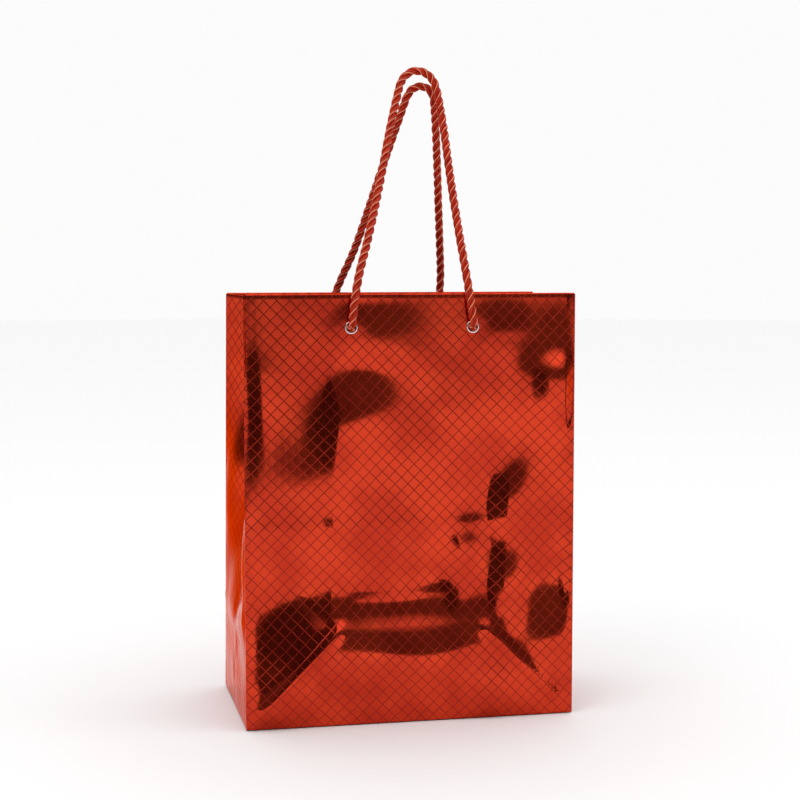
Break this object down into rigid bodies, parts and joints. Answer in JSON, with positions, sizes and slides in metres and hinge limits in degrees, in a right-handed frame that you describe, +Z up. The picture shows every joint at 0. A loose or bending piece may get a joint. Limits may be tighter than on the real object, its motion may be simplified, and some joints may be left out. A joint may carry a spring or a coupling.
{
  "type": "gift bag",
  "caption": "Upright gift bag of shiny red lattice-patterned foil paper with folded sides, a turned-in rim, eyelets and twisted-cord handles drawn together above the mouth.",
  "frame": {"origin": "on the floor under the middle of the base", "axes": "+Z up, +X to the right as seen from the front wall, +Y from the front wall to the rear wall"},
  "size_m": [0.18, 0.1052, 0.3546],
  "materials": {
    "foil_paper": "gloss",
    "card": "matte",
    "eyelet_metal": "polished",
    "cord": "satin"
  },
  "bodies": {
    "bag": {"front_wall": "foil_paper", "rear_wall": "foil_paper", "left_gusset_foot": "foil_paper", "left_gusset_front_fold": "foil_paper", "left_gusset_rear_fold": "foil_paper", "right_gusset_foot": "foil_paper", "right_gusset_front_fold": "foil_paper", "right_gusset_rear_fold": "foil_paper", "front_hem": "foil_paper", "rear_hem": "foil_paper", "left_hem": "foil_paper", "right_hem": "foil_paper", "side_seam_flap": "foil_paper", "base_flap_front": "foil_paper", "base_flap_rear": "foil_paper", "base_flap_left": "foil_paper", "base_flap_right": "foil_paper", "front_stiffener": "card", "rear_stiffener": "card", "front_left_eyelet": "eyelet_metal", "front_right_eyelet": "eyelet_metal", "rear_left_eyelet": "eyelet_metal", "rear_right_eyelet": "eyelet_metal", "front_left_knot": "cord", "front_right_knot": "cord", "rear_left_knot": "cord", "rear_right_knot": "cord"},
    "front_handle": {"front_handle_cord": "cord"},
    "rear_handle": {"rear_handle_cord": "cord"},
    "insert": {"base_card": "card"}
  },
  "joints": [
    {"name": "front_handle_swing", "type": "hinge", "parent": "bag", "child": "front_handle", "pos_m": [0, -0.05285, 0.213], "axis": [1, 0, 0], "range_deg": [0, 175]},
    {"name": "rear_handle_swing", "type": "hinge", "parent": "bag", "child": "rear_handle", "pos_m": [0, 0.03432, 0.21247], "axis": [-1, 0, 0], "range_deg": [0, 175]},
    {"name": "base_card_tip", "type": "hinge", "parent": "bag", "child": "insert", "pos_m": [0, -0.048, 0.0015], "axis": [1, 0, 0], "range_deg": [0, 80]}
  ]
}
